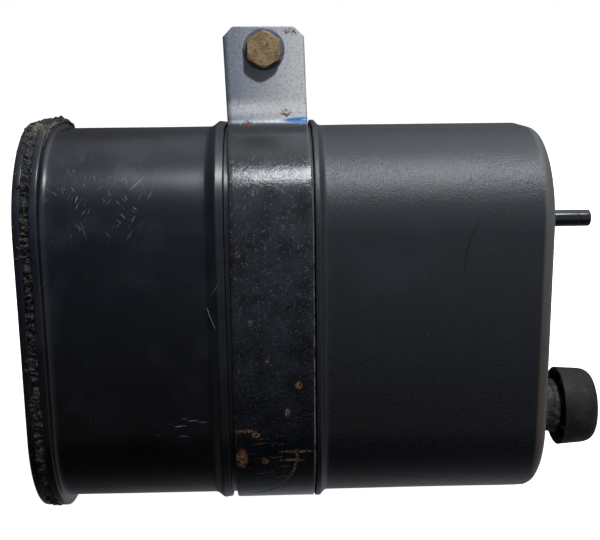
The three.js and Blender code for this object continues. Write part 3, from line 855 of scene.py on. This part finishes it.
def clamp_band():
    """A rolled steel strip with rolled edges, bent up into two bolted tabs, sitting a little askew."""
    line = band_line()
    dense = []
    for here, after in zip(line, line[1:]):
        near_top = TAB_TOP - max(here[1], after[1]) < TAB_CUT
        shares = (0, 0.2, 0.4, 0.6, 0.8) if near_top else (0,)
        dense += [np.array(here) + (np.array(after) - np.array(here)) * share for share in shares]
    line = np.array([*dense, line[-1]])
    along = np.gradient(line, axis=0)
    along /= np.linalg.norm(along, axis=1)[:, None]
    travelled = np.concatenate([[0], np.cumsum(np.linalg.norm(np.diff(line, axis=0), axis=1))])
    edge = 0.5 * MM
    rings, across, lengths = [], [], []
    for k, ((y, z), (ty, tz), length) in enumerate(zip(line, along, travelled)):
        thin = edge if k in (0, len(line) - 1) else 0.0
        half = tab_half_width(z) - thin * 0.5
        level = BAND_THICK / 2 - thin * 0.6
        lean = -BAND_LEAN * max(z - LEAN_FROM, 0)
        ring = []
        for u, n in strip_outline(half, level, edge):
            wave = 0.05 * MM * noise.noise(Vector((u, y, z)) * per_mm(17))
            ring.append((BAND_MIDDLE + lean + u, y - tz * (n + wave), z + ty * (n + wave)))
            across.append(u)
            lengths.append(length)
        rings.append(ring)
    band = capped("clamp_strip", rings, BAND, 40)
    for name, values in (("across", across), ("along", lengths)):
        layer = band.data.attributes.new(name, "FLOAT", "POINT")
        layer.data.foreach_set("value", values + [0.0, 0.0])
    centre = (bolt_low + bolt_high) / 2
    reach = 8 * MM
    hole = [(-reach, 0), (-reach, TAB_HOLE), (reach, TAB_HOLE), (reach, 0)]
    cutter = lathe("cutter", hole, Vector((centre.x, 0, centre.z)), "Y", BAND, 64)
    declare(bored(band, cutter), "canister", "painted_band_steel", "clamp_band")


def strip_outline(half, level, edge, across_steps=18, edge_steps=4):
    """A flat strip's cross-section (u, n) with rounded edges, counted round from its upper left."""
    outline = []
    for corner, (side_u, side_n) in enumerate(((1, 1), (1, -1), (-1, -1), (-1, 1))):
        start = math.pi / 2 * (1 - corner)
        for step in range(edge_steps + 1):
            angle = start - math.pi / 2 * step / edge_steps
            u = side_u * (half - edge) + edge * math.cos(angle)
            outline.append((u, side_n * (level - edge) + edge * math.sin(angle)))
        if corner in (1, 3):
            u, n = outline[-1]
            outline += [(u - 2 * u * t / across_steps, n) for t in range(1, across_steps)]
    return outline


# ---- Bolt, washer and nut ----
def hex_radius(angle, flats, round_share=0.985):
    """How far a hexagon's side is from its middle at an angle, with its six edges slightly blunted."""
    local = (angle - math.pi / 2 + TURN / 12) % (TURN / 6) - TURN / 12
    local = TURN / 12 - abs(local)
    return min(flats / 2 / math.cos(local), flats / math.sqrt(3) * round_share)


HEX_STEPS = 144


def hex_ring(along, radius_at, centre):
    """A ring about the bolt's line, with its radius given by angle."""
    ring = []
    for k in range(HEX_STEPS):
        angle = TURN * k / HEX_STEPS
        radius = radius_at(angle)
        ring.append((centre.x + radius * math.cos(angle), along, centre.z + radius * math.sin(angle)))
    return ring


def chamfered_side(face, back, flats, centre, slope=0.62):
    """Rings from a hexagon's turned face down its sides: the chamfer meets each side in an arc."""
    towards = 1 if back > face else -1
    crown = flats / 2 - 0.15 * MM
    rings = [hex_ring(face, lambda a, share=share: crown * share, centre) for share in (0.4, 0.8, 0.96)]
    rings.append(hex_ring(face + towards * 0.06 * MM, lambda a: crown, centre))

    def depth(angle):
        return (hex_radius(angle, flats) - crown) * slope + 0.1 * MM

    for part in (0.5, 1.0, 1.25):
        ring = []
        for k in range(HEX_STEPS):
            angle = TURN * k / HEX_STEPS
            edge = hex_radius(angle, flats)
            radius = crown + (edge - crown) * min(part, 1.0)
            along = face + towards * depth(angle) * part
            ring.append((centre.x + radius * math.cos(angle), along, centre.z + radius * math.sin(angle)))
        rings.append(ring)
    rings.append(hex_ring(back - towards * 0.15 * MM, lambda a: hex_radius(a, flats), centre))
    rings.append(hex_ring(back, lambda a: hex_radius(a, flats) - 0.12 * MM, centre))
    return rings


FLATS = 13 * MM
SHANK = 3.9 * MM
THREAD_PITCH = 1.25 * MM


def tab_bolt():
    """A hexagon-head screw: turned crown, plain neck and a rolled thread."""
    centre = Vector(((bolt_low.x + bolt_high.x) / 2, 0, (bolt_low.z + bolt_high.z) / 2))
    head_back = washer_low.y - 0.15 * MM
    rings = chamfered_side(bolt_low.y, head_back, FLATS, centre)
    core = SHANK - 0.62 * MM
    end = bolt_high.y
    profile = rounded(
        [
            (head_back, SHANK, 0), (head_back + 5.2 * MM, SHANK, 0.3),
            (head_back + 5.6 * MM, core, 0.2), (end - 0.9 * MM, core, 0), (end, core - 0.8 * MM, 0),
        ],
        3,
    )
    rings.append(hex_ring(head_back, lambda a: SHANK + 0.3 * MM, centre))
    rings += [hex_ring(along, lambda a, r=radius: r, centre) for along, radius in profile]
    bolt = capped("hex_bolt", rings, ZINC, 30)
    roughen(bolt, 0.07 * MM, 2.2)
    declare(bolt, "bolt", "rusty_zinc_steel", "tab_bolt")
    start = head_back + 5.8 * MM
    length = end - 1.1 * MM - start
    ridge = coil("bolt_thread", length / THREAD_PITCH, core + 0.1 * MM, length, 0.5 * MM, 3, ZINC)
    ridge.data.transform(Matrix.Rotation(math.pi / 2, 4, "X"))
    ridge.data.transform(Matrix.Translation((centre.x, end - 1.1 * MM, centre.z)))
    declare(ridge, "bolt", "rusty_zinc_steel")


def roughen(piece, depth, size):
    """Moves a piece's points by a fixed noise, as cast or rusted metal is uneven."""
    for vertex in piece.data.vertices:
        vertex.co += noise.noise_vector(vertex.co * per_mm(size)) * depth


def tab_washer():
    """A plain punched washer with a rolled upper edge."""
    centre = (washer_low + washer_high) / 2
    outer = (washer_high.x - washer_low.x) / 2
    bore = 4.2 * MM
    low, high = washer_low.y, washer_high.y
    profile = rounded(
        [
            (low, (bore + outer) / 2, 0), (low, outer, 0.5), (high, outer, 0.2),
            (high, bore, 0.15), (low, bore, 0.3), (low, (bore + outer) / 2, 0),
        ]
    )
    washer = lathe("plain_washer", profile[:-1], centre, "Y", WASHER_ZINC, 96, closed=True)
    roughen(washer, 0.04 * MM, 2)
    declare(washer, "washer", "rusty_zinc_steel", "tab_washer")


def tab_nut():
    """A hexagon nut, chamfered on both sides, with its bore countersunk."""
    centre = Vector(((nut_low.x + nut_high.x) / 2, 0, (nut_low.z + nut_high.z) / 2))
    bore = 4.15 * MM
    low, high = nut_low.y, nut_high.y
    front = chamfered_side(low, high, FLATS, centre)[3:7]
    back = chamfered_side(high, low, FLATS, centre)[3:7][::-1]
    inner = [(high, bore + 0.7 * MM), (high - 0.7 * MM, bore), (low + 0.7 * MM, bore), (low, bore + 0.7 * MM)]
    rings = front + back + [hex_ring(along, lambda a, r=radius: r, centre) for along, radius in inner]
    points = np.asarray(rings).reshape(-1, 3)
    nut = outward(mesh_piece("hex_nut", points, tube_faces(len(rings), HEX_STEPS, True), ZINC, 30))
    roughen(nut, 0.05 * MM, 2.2)
    declare(nut, "canister", "rusty_zinc_steel", "tab_nut")


# ---- Ports and cap ----
def hose_nipple():
    """A straight tube with a turned tip and a slight witness ring near it."""
    centre = (nipple_low + nipple_high) / 2
    outer = (nipple_high.z - nipple_low.z) / 2
    bore = 2.2 * MM
    root, tip = nipple_low.x, nipple_high.x
    profile = rounded(
        [
            (root, (bore + outer) / 2, 0), (root, outer, 0.2), (tip - 5.2 * MM, outer, 0.1),
            (tip - 5 * MM, outer - 0.12 * MM, 0.1), (tip - 4.7 * MM, outer, 0.1),
            (tip, outer, 1.1), (tip, bore, 0.3), (root, bore, 0.2),
            (root, (bore + outer) / 2, 0),
        ]
    )
    nipple = lathe("hose_tube", profile[:-1], centre, "X", TUBE, 72, closed=True)
    declare(nipple, "canister", "gloss_tube", "hose_nipple")


def vent_neck():
    """A stepped neck: a spigot in the wall, a thick collar and the thin stem that carries the cap."""
    centre = (neck_low + neck_high) / 2
    collar = (neck_high.z - neck_low.z) / 2
    bore, stem, spigot = 5 * MM, 7.5 * MM, 6.5 * MM
    root, tip = neck_low.x, neck_high.x
    foot = PORT_END + 0.3 * MM
    shoulder = PORT_END + 16 * MM
    profile = rounded(
        [
            (root, (bore + spigot) / 2, 0), (root, spigot, 0.2), (foot, spigot, 0.1),
            (foot, collar, 0.4), (foot + 3.2 * MM, collar, 0.4),
            (foot + 3.8 * MM, collar - 0.5 * MM, 0.4),
            (shoulder - 3 * MM, collar - 0.5 * MM, 0.4), (shoulder - 2.4 * MM, collar, 0.4),
            (shoulder, collar, 1.0), (shoulder, stem, 0.6), (tip, stem, 0.5),
            (tip, bore, 0.3), (root, bore, 0.2), (root, (bore + spigot) / 2, 0),
        ]
    )
    neck = lathe("vent_neck_tube", divided(profile[:-1], 2 * MM), centre, "X", NECK, 96, closed=True)
    declare(neck, "canister", "moulded_nylon", "vent_neck")


def vent_cap():
    """A soft mushroom cap: slightly coned skirt, rounded face, hollow underside with a gripping sleeve."""
    centre = (cap_low + cap_high) / 2
    outer = (cap_high.z - cap_low.z) / 2
    rim, face = cap_low.x, cap_high.x
    inner = outer - 2.2 * MM
    cone = 1 * MM
    ceiling = face - 3.6 * MM
    sleeve, sleeve_out = 7.8 * MM, 9.3 * MM
    edge = face - 0.8 * MM
    profile = rounded(
        [
            (ceiling, 0, 0), (ceiling, sleeve, 0.2), (rim + 1.6 * MM, sleeve, 0.4),
            (rim + 1.6 * MM, sleeve_out, 0.4), (ceiling, sleeve_out, 0.6),
            (ceiling, inner - cone, 0.8), (rim + 2 * MM, inner + 0.2 * MM, 0.5),
            (rim, outer - 1 * MM, 0.3), (rim, outer, 0.5), (edge, outer - cone, 5.5),
            (face, outer * 0.45, 3), (face, 0, 0),
        ],
        8,
    )
    cap = lathe("mushroom_cap", divided(profile, 1.6 * MM), centre, "X", RUBBER, 120, sharp=40)
    for vertex in cap.data.vertices:
        vertex.co += noise.noise_vector(vertex.co * per_mm(14)) * 0.12 * MM
    held = [min(max(v.co.x, rim), face) for v in cap.data.vertices]
    for vertex, x in zip(cap.data.vertices, held):
        vertex.co.x = x
    declare(cap, "cap", "black_rubber", "vent_cap")


# ---- Repeated shapes, made by node trees ----
def geometry_tree(name, **sizes):
    """An empty geometry tree with a geometry input and output and one named number for each size."""
    tree = bpy.data.node_groups.new(name, "GeometryNodeTree")
    tree.interface.new_socket("Geometry", in_out="INPUT", socket_type="NodeSocketGeometry")
    tree.interface.new_socket("Geometry", in_out="OUTPUT", socket_type="NodeSocketGeometry")
    for size, value in sizes.items():
        kind = "NodeSocketInt" if isinstance(value, int) else "NodeSocketFloat"
        socket = tree.interface.new_socket(size.replace("_", " "), in_out="INPUT", socket_type=kind)
        socket.default_value = value
    return tree, add(tree, "NodeGroupInput").outputs


def closed_tree(tree, made, finish_material):
    """Ends a tree: instances made real, then the finish."""
    real = add(tree, "GeometryNodeRealizeInstances", {0: made})
    painted = add(tree, "GeometryNodeSetMaterial", {"Geometry": real.outputs[0], "Material": finish_material})
    add(tree, "NodeGroupOutput", {0: painted.outputs[0]})
    return tree


def grown(name, tree, base=None, **sizes):
    """The plain mesh that a tree makes, with its inputs set by identifier before it is first evaluated."""
    mesh = base.data.copy() if base else bpy.data.meshes.new(name)
    piece = bpy.data.objects.new(name, mesh)
    grow = piece.modifiers.new("grow", "NODES")
    grow.node_group = tree
    identifiers = {item.name: item.identifier for item in tree.interface.items_tree if item.in_out == "INPUT"}
    for size, value in sizes.items():
        grow[identifiers[size.replace("_", " ")]] = value
    bpy.context.scene.collection.objects.link(piece)
    solved(piece)
    piece.data.shade_smooth()
    return piece


def coil_tree(finish_material):
    """A wire wound round Z: its turns, radius, length and the wire's own size are inputs."""
    tree, size = geometry_tree("wound_wire", Turns=3.0, Radius=0.01, Length=0.02, Wire=0.001, Sides=8)
    ends = {"Start Radius": size["Radius"], "End Radius": size["Radius"]}
    wound = {"Resolution": 40, "Rotations": size["Turns"], "Height": size["Length"], **ends}
    path = add(tree, "GeometryNodeCurveSpiral", wound)
    rim = add(tree, "GeometryNodeCurvePrimitiveCircle", {"Resolution": size["Sides"], "Radius": size["Wire"]})
    swept = {"Curve": path.outputs[0], "Profile Curve": rim.outputs[0], "Fill Caps": True}
    wire = add(tree, "GeometryNodeCurveToMesh", swept)
    return closed_tree(tree, wire.outputs[0], finish_material)


def coil(name, turns, radius, length, wire, sides, finish_material):
    """A wound wire as a mesh, rising from the origin along +Z."""
    tree = coil_tree(finish_material)
    return outward(grown(name, tree, Turns=turns, Radius=radius, Length=length, Wire=wire, Sides=sides))


def weld_crumbs(bead):
    """Loose crumbs of plastic stuck to the bead, scattered with a fixed seed."""
    sizes = {"Count_per_area": 60000.0, "Crumb_radius": 0.42 * MM, "Seed": 5}
    tree, size = geometry_tree("stuck_crumbs", **sizes)
    spread = {"Mesh": size["Geometry"], "Density": size["Count per area"], "Seed": size["Seed"]}
    points = add(tree, "GeometryNodeDistributePointsOnFaces", spread)
    crumb = add(tree, "GeometryNodeMeshIcoSphere", {"Radius": size["Crumb radius"], "Subdivisions": 1})
    shapes = {"Min": (0.4, 0.4, 0.4), "Max": (1.2, 0.9, 1.4), "Seed": size["Seed"]}
    turns = {"Min": (0, 0, 0), "Max": (TURN, TURN, TURN), "Seed": size["Seed"]}
    scale = add(tree, "FunctionNodeRandomValue", shapes, data_type="FLOAT_VECTOR")
    turn = add(tree, "FunctionNodeRandomValue", turns, data_type="FLOAT_VECTOR")
    placing = {"Points": points.outputs[0], "Instance": crumb.outputs[0]}
    placing |= {"Rotation": turn.outputs[0], "Scale": scale.outputs[0]}
    placed = add(tree, "GeometryNodeInstanceOnPoints", placing)
    crumbs = grown("weld_crumbs", closed_tree(tree, placed.outputs[0], FLASH), bead, **sizes)
    for vertex in crumbs.data.vertices:
        vertex.co.x = max(vertex.co.x, cover_low.x + 0.1 * MM)
        vertex.co.y = min(max(vertex.co.y, flash_low.y), flash_high.y)
        vertex.co.z = min(max(vertex.co.z, flash_low.z), flash_high.z)
    declare(crumbs, "canister", "weld_flash")


def cover_ribs():
    """The four low stiffening bars across the cover's panel."""
    sizes = {"Bars": 4, "Spacing": 24 * MM, "Reach": 72 * MM, "Width": 3 * MM, "Height": 1.1 * MM}
    tree, size = geometry_tree("panel_bars", **sizes)
    step = add(tree, "ShaderNodeCombineXYZ", {2: size["Spacing"]})
    row = add(tree, "GeometryNodeMeshLine", {"Count": size["Bars"], "Offset": step.outputs[0]})
    shape = add(tree, "ShaderNodeCombineXYZ", {0: size["Height"], 1: size["Reach"], 2: size["Width"]})
    bar = add(tree, "GeometryNodeMeshCube", {"Size": shape.outputs[0]})
    placed = add(tree, "GeometryNodeInstanceOnPoints", {"Points": row.outputs[0], "Instance": bar.outputs[0]})
    ribs = grown("cover_bars", closed_tree(tree, placed.outputs[0], NYLON), **sizes)
    ribs.data.transform(Matrix.Translation((cover_low.x + 1.2 * MM, MIDDLE.y, MIDDLE.z - 36 * MM)))
    soft = ribs.modifiers.new("soft edges", "BEVEL")
    soft.width = 0.4 * MM
    soft.segments = 3
    solved(ribs)
    ribs.data.shade_smooth()
    ribs.data.set_sharp_from_angle(angle=math.radians(40))
    declare(ribs, "canister", "moulded_nylon")


def retainer_springs():
    """One wound spring in each chamber, made at one length; in the canister it is pressed as its retainer moves
    towards the cover.
    """
    for name in ("upper", "lower"):
        low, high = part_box(f"{name}_spring")
        centre = (low + high) / 2
        wire = 1.05 * MM
        radius = (high.z - low.z) / 2 - wire
        length = high.x - low.x - 2 * wire
        spring = coil(f"{name}_wound_spring", 3.5, radius, length, wire, 12, SPRING)
        spring.data.transform(Matrix.Rotation(math.pi / 2, 4, "Y"))
        spring.data.transform(Matrix.Translation((low.x + wire, centre.y, centre.z)))
        declare(spring, "canister", "spring_steel", f"{name}_spring")
        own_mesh(spring)


# ---- Pieces that keep their solids and get their finish ----
FINISH_OF_SLOT = {"moulded_nylon": NYLON, "filter_felt": FELT, "granules": GRANULES}


def inner_pieces():
    """The plates, pads and fillings keep their own solids."""
    for part in frame["record"]["subparts"]:
        given = FINISH_OF_SLOT.get(part["material_slot"])
        solid = frame["nodes"][part["node"]]
        if given and not solid.hide_render:
            solid.data.materials.clear()
            solid.data.materials.append(given)


# ---- Stage, light and camera ----
def stage():
    """A plain pale floor at the object's lowest point, which sends no light back up."""
    reach = 40.0
    level = cad_box[0].z - 0.2 * MM
    corners = [(x * reach, y * reach, level) for x, y in ((-1, -1), (1, -1), (1, 1), (-1, 1))]
    made, tree, shader, at = material("pale_studio_floor")
    tone = layered("#f4f4f4", ("#f8f8f8", 1, blotches(at, 400, 0.3, 0.7, 2)))
    finish(
        made,
        shader,
        {"Base Color": tone, "Emission Color": tone},
        Roughness=0.9,
        Specular_IOR_Level=0.1,
        Emission_Strength=1.12,
    )
    floor = mesh_piece("floor", corners, [(0, 1, 2, 3)], made)
    floor.visible_glossy = False
    floor.visible_diffuse = False


# brightness by angle round the object: 0 is in front, 90 overhead, 180 behind and -90 below
SKY = [
    (-180, 0.12), (-160, 0.3), (-146, 0.45), (-122, 0.42), (-100, 0.2), (-75, 0.06), (-60, 0.03),
    (-24, 0.01), (-18, 0.08), (-12, 0.36), (-5, 0.5), (12, 0.5), (30, 0.5), (45, 0.7), (80, 1.4),
    (105, 1.8), (120, 1.5), (137, 0.5), (160, 0.2), (180, 0.14),
]


def sky():
    """Soft surroundings: bright overhead, dim behind, dark low in front, white behind the object."""
    world = bpy.data.worlds.new("studio")
    bpy.context.scene.world = world
    world.use_nodes = True
    tree = world.node_tree
    tree.nodes.clear()
    way = add(tree, "ShaderNodeTexCoord").outputs["Generated"]
    part = add(tree, "ShaderNodeSeparateXYZ", {"Vector": way})
    ahead = add(tree, "ShaderNodeMath", {0: part.outputs[1], 1: -1.0}, operation="MULTIPLY")
    angle = add(tree, "ShaderNodeMath", {0: part.outputs[2], 1: ahead.outputs[0]}, operation="ARCTAN2")
    turned = {"Value": angle.outputs[0], "From Min": -math.pi, "From Max": math.pi}
    share = add(tree, "ShaderNodeMapRange", turned)
    ramp = add(tree, "ShaderNodeValToRGB", {0: share.outputs[0]})
    bright = max(level for _, level in SKY)
    stops = ramp.color_ramp.elements
    while len(stops) < len(SKY):
        stops.new(0.5)
    for element, (degrees, level) in zip(stops, SKY):
        element.position = (degrees + 180) / 360
        element.color = (*[level / bright] * 3, 1)
    side = add(tree, "ShaderNodeMath", {0: part.outputs[0], 1: part.outputs[0]}, operation="MULTIPLY")
    blend = {0: side.outputs[0], 2: ramp.outputs[0], 3: 0.45 / bright}
    level = add(tree, "ShaderNodeMix", blend, data_type="FLOAT")
    # the left is darker than the right
    left = {"Value": part.outputs[0], "From Min": -0.25, "From Max": 0.1, "To Min": 0.28, "To Max": 1.0}
    dimmed = add(tree, "ShaderNodeMapRange", left)
    strength = times(level.outputs[0], dimmed.outputs[0], bright)
    lit = add(tree, "ShaderNodeBackground", {"Color": (0.92, 0.96, 1.04, 1), "Strength": strength})
    seen = add(tree, "ShaderNodeBackground", {"Color": (1, 1, 1, 1), "Strength": 1.0})
    camera_ray = add(tree, "ShaderNodeLightPath").outputs["Is Camera Ray"]
    mix = add(tree, "ShaderNodeMixShader", {0: camera_ray, 1: lit.outputs[0], 2: seen.outputs[0]})
    add(tree, "ShaderNodeOutputWorld", {"Surface": mix.outputs[0]})
    world.cycles_visibility.diffuse = False


def area_light(name, target, heading, distance, width, height, power):
    """A lamp at a distance from the target along a heading of (to the right, elevation), in degrees."""
    right, up = (math.radians(degrees) for degrees in heading)
    way = Vector((math.sin(right) * math.cos(up), -math.cos(right) * math.cos(up), math.sin(up)))
    data = bpy.data.lights.new(name, "AREA")
    data.shape = "RECTANGLE"
    data.size, data.size_y = width, height
    data.energy = power
    made = bpy.data.objects.new(name, data)
    made.location = target + way * distance
    made.rotation_mode = "QUATERNION"
    made.rotation_quaternion = way.to_track_quat("Z", "Y")
    bpy.context.scene.collection.objects.link(made)
    return made


def lights():
    """A long soft box overhead makes the highlights; a small lamp lights matt surfaces and casts shadows."""
    middle = (cad_box[0] + cad_box[1]) / 2
    soft = area_light("soft_box", middle, (22, 63), 1.2, 0.62, 0.27, 11)
    soft.visible_diffuse = False
    small = area_light("small_lamp", middle, (13, 42), 1.6, 0.12, 0.12, 30)
    small.visible_glossy = False
    soft.data.color = (0.92, 0.96, 1.0)
    for name, heading, power in (("fill_behind", (150, 35), 16), ("fill_front", (-25, 15), 1.2)):
        area_light(name, middle, heading, 1.6, 0.8, 0.8, power).visible_glossy = False


def camera():
    """In front, a little above the box's top and looking slightly down at it."""
    data = bpy.data.cameras.new("view")
    data.sensor_width = 36
    data.lens = 57.73
    data.clip_start, data.clip_end = 0.01, 50
    made = bpy.data.objects.new("view", data)
    bpy.context.scene.collection.objects.link(made)
    made.location = (2.53 * MM, -394.65 * MM, -3.92 * MM)
    pitch, yaw, roll = -0.2158, -0.0277, 0.0106
    turn = Matrix.Rotation(yaw, 4, "Z") @ Matrix.Rotation(pitch, 4, "X") @ Matrix.Rotation(roll, 4, "Y")
    made.rotation_mode = "QUATERNION"
    made.rotation_quaternion = (turn @ Matrix.Rotation(math.pi / 2, 4, "X")).to_quaternion()
    bpy.context.scene.camera = made


camera()
body_shell()
end_cover()
cover_ribs()
weld_crumbs(weld_flash())
clamp_band()
tab_bolt()
tab_washer()
tab_nut()
hose_nipple()
vent_neck()
vent_cap()
retainer_springs()
inner_pieces()
stage()
sky()
lights()
bpy.context.scene.view_settings.view_transform = "Standard"
